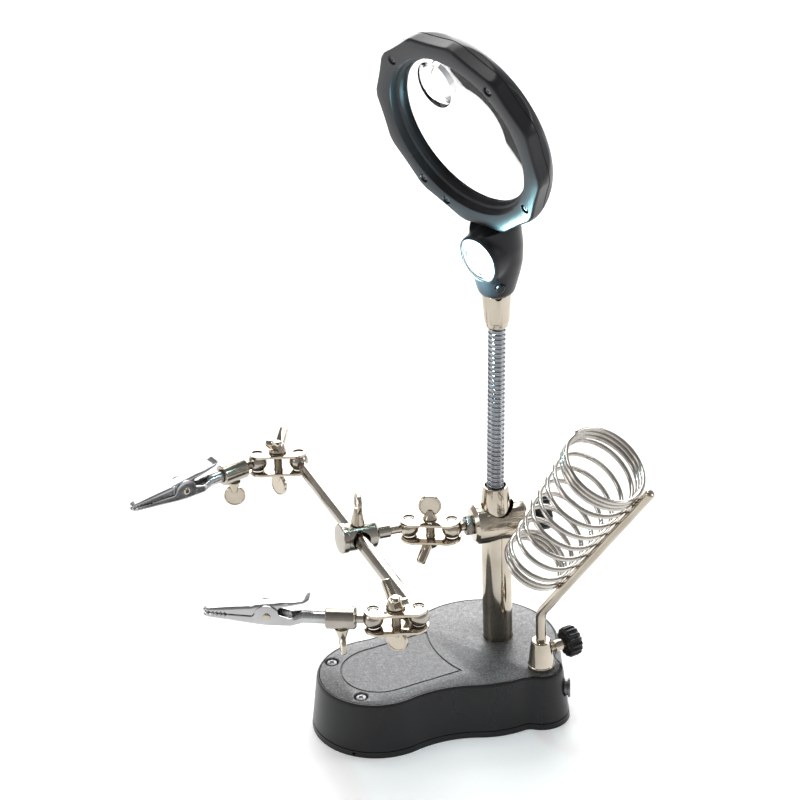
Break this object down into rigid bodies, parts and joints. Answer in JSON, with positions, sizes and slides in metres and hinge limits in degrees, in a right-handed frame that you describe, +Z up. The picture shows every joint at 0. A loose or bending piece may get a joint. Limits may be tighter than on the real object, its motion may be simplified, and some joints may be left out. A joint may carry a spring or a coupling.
{
  "type": "helping hands clamp",
  "caption": "Bench holder with a lit magnifier on a gooseneck, alligator clips on a ball-jointed arm, a coil rest for a soldering iron and a weighted base.",
  "frame": {"origin": "on the post's axis, at the surface that the base stands on", "axes": "+Z up along the post, +X along the base towards its large lobe, -X the side that the magnifier faces"},
  "size_m": [0.1642, 0.1651, 0.2857],
  "materials": {
    "black_plastic": "satin black plastic",
    "bezel_plastic": "satin black plastic",
    "knob_plastic": "satin black plastic",
    "textured_plate": "fine grained dark grey paint",
    "dark_screws": "blackened steel",
    "nickel": "bright nickel plating",
    "chrome_hose": "bright chrome strip",
    "coil_wire": "bright nickel plating",
    "dark_steel": "oiled steel",
    "cast_weight": "rough cast",
    "cell_case": "bright steel can",
    "lens_glass": "clear polished",
    "lamp_cover": "clear moulded",
    "lamp_parts": "white",
    "spring_steel": "bright spring wire"
  },
  "bodies": {
    "stand": {"base_housing": "black_plastic", "base_top_plate": "textured_plate", "plate_screws": "dark_screws", "base_bottom_cover": "black_plastic", "battery_cells": "cell_case", "ballast_weight": "cast_weight", "power_socket": "nickel", "post": "nickel", "rest_socket": "nickel"},
    "battery_door": {"battery_door": "black_plastic"},
    "lower_neck": {"gooseneck_lower": "chrome_hose"},
    "upper_neck": {"gooseneck_middle": "chrome_hose"},
    "magnifier": {"gooseneck_upper": "chrome_hose", "neck_ferrule": "nickel", "magnifier_rear_frame": "black_plastic", "magnifier_front_bezel": "bezel_plastic", "bezel_screws": "dark_screws", "main_lens": "lens_glass", "insert_lens": "lens_glass", "lamp_window": "lamp_cover", "lamp_board": "lamp_parts"},
    "light_button": {"light_button": "knob_plastic"},
    "post_clamp": {"post_clamp_body": "nickel", "post_clamp_nut": "dark_steel"},
    "post_clamp_screw": {"post_clamp_screw": "nickel", "post_clamp_knob": "knob_plastic"},
    "post_stud": {"post_clamp_stud": "nickel"},
    "post_link": {"post_link_upper_plate": "nickel", "post_link_lower_plate": "nickel", "post_link_screw": "nickel"},
    "post_link_nut": {"post_link_wing_nut": "nickel"},
    "bar_clamp": {"bar_clamp_body": "nickel", "bar_clamp_stud": "nickel"},
    "bar_clamp_screw": {"bar_clamp_screw": "nickel"},
    "cross_bar": {"cross_bar": "nickel"},
    "iron_rest": {"rest_rod": "nickel", "rest_coil": "coil_wire"},
    "rest_screw": {"rest_screw": "nickel", "rest_knob": "knob_plastic"},
    "rear_link": {"rear_link_upper_plate": "nickel", "rear_link_lower_plate": "nickel", "rear_link_screw": "nickel"},
    "rear_link_nut": {"rear_link_wing_nut": "nickel"},
    "rear_holder": {"rear_clip_holder": "nickel"},
    "rear_holder_screw": {"rear_holder_screw": "nickel"},
    "rear_clip": {"rear_clip_lower_jaw": "nickel", "rear_clip_pin": "nickel", "rear_clip_spring": "spring_steel"},
    "rear_upper_jaw": {"rear_clip_upper_jaw": "nickel"},
    "front_link": {"front_link_upper_plate": "nickel", "front_link_lower_plate": "nickel", "front_link_screw": "nickel"},
    "front_link_nut": {"front_link_wing_nut": "nickel"},
    "front_holder": {"front_clip_holder": "nickel"},
    "front_holder_screw": {"front_holder_screw": "nickel"},
    "front_clip": {"front_clip_lower_jaw": "nickel", "front_clip_pin": "nickel", "front_clip_spring": "spring_steel"},
    "front_upper_jaw": {"front_clip_upper_jaw": "nickel"}
  },
  "joints": [
    {"name": "battery_door_slide", "type": "slide", "parent": "stand", "child": "battery_door", "axis": [-1, 0, 0], "range_m": [0, 0.05]},
    {"name": "gooseneck_lower_bend", "type": "hinge", "parent": "stand", "child": "lower_neck", "pos_m": [0.00024, -0.00012, 0.10466], "axis": [0, -1, 0], "range_deg": [-30, 40], "deforming": ["gooseneck_lower"]},
    {"name": "gooseneck_side_bend", "type": "hinge", "parent": "lower_neck", "child": "upper_neck", "pos_m": [0.00073, -0.00035, 0.12799], "axis": [1, 0, 0], "range_deg": [-35, 35], "deforming": ["gooseneck_middle"]},
    {"name": "gooseneck_upper_bend", "type": "hinge", "parent": "upper_neck", "child": "magnifier", "pos_m": [0.00121, -0.00058, 0.15132], "axis": [0, -1, 0], "range_deg": [-30, 45], "deforming": ["gooseneck_upper"]},
    {"name": "light_button_press", "type": "slide", "parent": "magnifier", "child": "light_button", "axis": [0.2902, 0.9259, 0.2419], "range_m": [0, 0.0006], "stiffness_N_per_m": 200, "springref_m": -0.0008},
    {"name": "post_clamp_slide", "type": "slide", "parent": "stand", "child": "post_clamp", "axis": [0, 0, 1], "range_m": [-0.02, 0.007]},
    {"name": "post_clamp_knob_turn", "type": "hinge", "parent": "post_clamp", "child": "post_clamp_screw", "pos_m": [0, 0, 0.0765], "axis": [0.9848, -0.1736, 0], "range_deg": [0, 450]},
    {"name": "post_stud_roll", "type": "hinge", "parent": "post_clamp", "child": "post_stud", "pos_m": [-0.01792, 0.00316, 0.0765], "axis": [-0.9848, 0.1736, 0], "range_deg": [-30, 30]},
    {"name": "post_link_swing", "type": "hinge", "parent": "post_stud", "child": "post_link", "pos_m": [-0.01792, 0.00316, 0.0765], "axis": [0, 0, -1], "range_deg": [-40, 40]},
    {"name": "post_link_nut_turn", "type": "hinge", "parent": "post_link", "child": "post_link_nut", "pos_m": [-0.02513, 0.00766, 0.0765], "axis": [0, 0, -1], "range_deg": [0, 450]},
    {"name": "bar_clamp_swing", "type": "hinge", "parent": "post_link", "child": "bar_clamp", "pos_m": [-0.03234, 0.01217, 0.0765], "axis": [0, 0, 1], "range_deg": [-50, 50]},
    {"name": "bar_clamp_screw_turn", "type": "hinge", "parent": "bar_clamp", "child": "bar_clamp_screw", "pos_m": [-0.05425, 0.01351, 0.078], "axis": [0.0679, -0.0042, 0.9977], "range_deg": [0, 450]},
    {"name": "cross_bar_slide", "type": "slide", "parent": "bar_clamp", "child": "cross_bar", "axis": [0.061, 0.9981, 0], "range_m": [-0.025, 0.025]},
    {"name": "rear_link_swing", "type": "hinge", "parent": "cross_bar", "child": "rear_link", "pos_m": [-0.05022, 0.07939, 0.078], "axis": [-0.0588, -0.1261, -0.9903], "range_deg": [-50, 60]},
    {"name": "rear_link_nut_turn", "type": "hinge", "parent": "rear_link", "child": "rear_link_nut", "pos_m": [-0.05792, 0.08298, 0.078], "axis": [0.0588, 0.1261, 0.9903], "range_deg": [0, 450]},
    {"name": "rear_holder_swing", "type": "hinge", "parent": "rear_link", "child": "rear_holder", "pos_m": [-0.06563, 0.08657, 0.078], "axis": [0.0588, 0.1261, 0.9903], "range_deg": [-70, 40]},
    {"name": "rear_holder_screw_turn", "type": "hinge", "parent": "rear_holder", "child": "rear_holder_screw", "pos_m": [-0.07743, 0.08438, 0.078], "axis": [0, 0, -1], "range_deg": [0, 450]},
    {"name": "rear_clip_roll", "type": "hinge", "parent": "rear_holder", "child": "rear_clip", "pos_m": [-0.07743, 0.08438, 0.078], "axis": [0.9833, 0.1822, 0], "range_deg": [-90, 90]},
    {"name": "rear_clip_open", "type": "hinge", "parent": "rear_clip", "child": "rear_upper_jaw", "pos_m": [-0.10142, 0.07994, 0.0792], "axis": [-0.1822, 0.9833, 0], "range_deg": [0, 18], "stiffness_Nm_per_rad": 0.03, "springref_deg": -68.75},
    {"name": "front_link_swing", "type": "hinge", "parent": "cross_bar", "child": "front_link", "pos_m": [-0.05809, -0.04937, 0.078], "axis": [0, 0, 1], "range_deg": [-40, 50]},
    {"name": "front_link_nut_turn", "type": "hinge", "parent": "front_link", "child": "front_link_nut", "pos_m": [-0.06599, -0.04623, 0.078], "axis": [0, 0, 1], "range_deg": [0, 450]},
    {"name": "front_holder_swing", "type": "hinge", "parent": "front_link", "child": "front_holder", "pos_m": [-0.07389, -0.04309, 0.078], "axis": [0, 0, -1], "range_deg": [-60, 55]},
    {"name": "front_holder_screw_turn", "type": "hinge", "parent": "front_holder", "child": "front_holder_screw", "pos_m": [-0.08407, -0.03673, 0.078], "axis": [0, 0, -1], "range_deg": [0, 450]},
    {"name": "front_clip_roll", "type": "hinge", "parent": "front_holder", "child": "front_clip", "pos_m": [-0.08407, -0.03673, 0.078], "axis": [-0.848, 0.5299, 0], "range_deg": [-90, 90]},
    {"name": "front_clip_open", "type": "hinge", "parent": "front_clip", "child": "front_upper_jaw", "pos_m": [-0.10747, -0.0221, 0.0792], "axis": [0.5299, 0.848, 0], "range_deg": [0, 18], "stiffness_Nm_per_rad": 0.03, "springref_deg": -68.75},
    {"name": "iron_rest_turn", "type": "hinge", "parent": "stand", "child": "iron_rest", "pos_m": [0.0045, -0.0285, 0.03], "axis": [0, 0, 1], "range_deg": [-60, 60]},
    {"name": "rest_knob_turn", "type": "hinge", "parent": "stand", "child": "rest_screw", "pos_m": [0.0045, -0.0285, 0.03], "axis": [0.9976, 0.0698, 0], "range_deg": [0, 450]}
  ]
}
